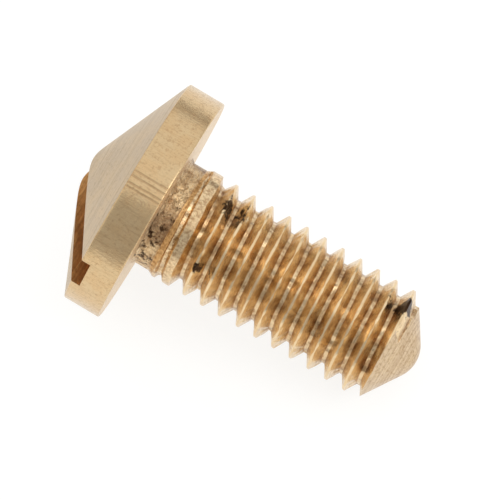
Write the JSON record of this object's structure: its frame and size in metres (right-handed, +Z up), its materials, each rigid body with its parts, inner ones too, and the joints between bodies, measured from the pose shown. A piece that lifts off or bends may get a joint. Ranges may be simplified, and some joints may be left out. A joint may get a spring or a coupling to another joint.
{
  "type": "locking screw",
  "caption": "Slotted brass screw with a round cone-topped head, a plain neck, a right-hand metric thread and a blunt cone point.",
  "frame": {"origin": "centre of the bounding box at the surface that the screw lies on", "axes": "+X from the head towards the point, +Z up; the screw's axis falls from the head to the point in the XZ plane"},
  "size_m": [0.0182, 0.012, 0.0121],
  "materials": {
    "brass": "raw turned brass, satin, with brown tarnish in the thread"
  },
  "bodies": {
    "root": {"locking_screw": "brass"}
  },
  "joints": []
}
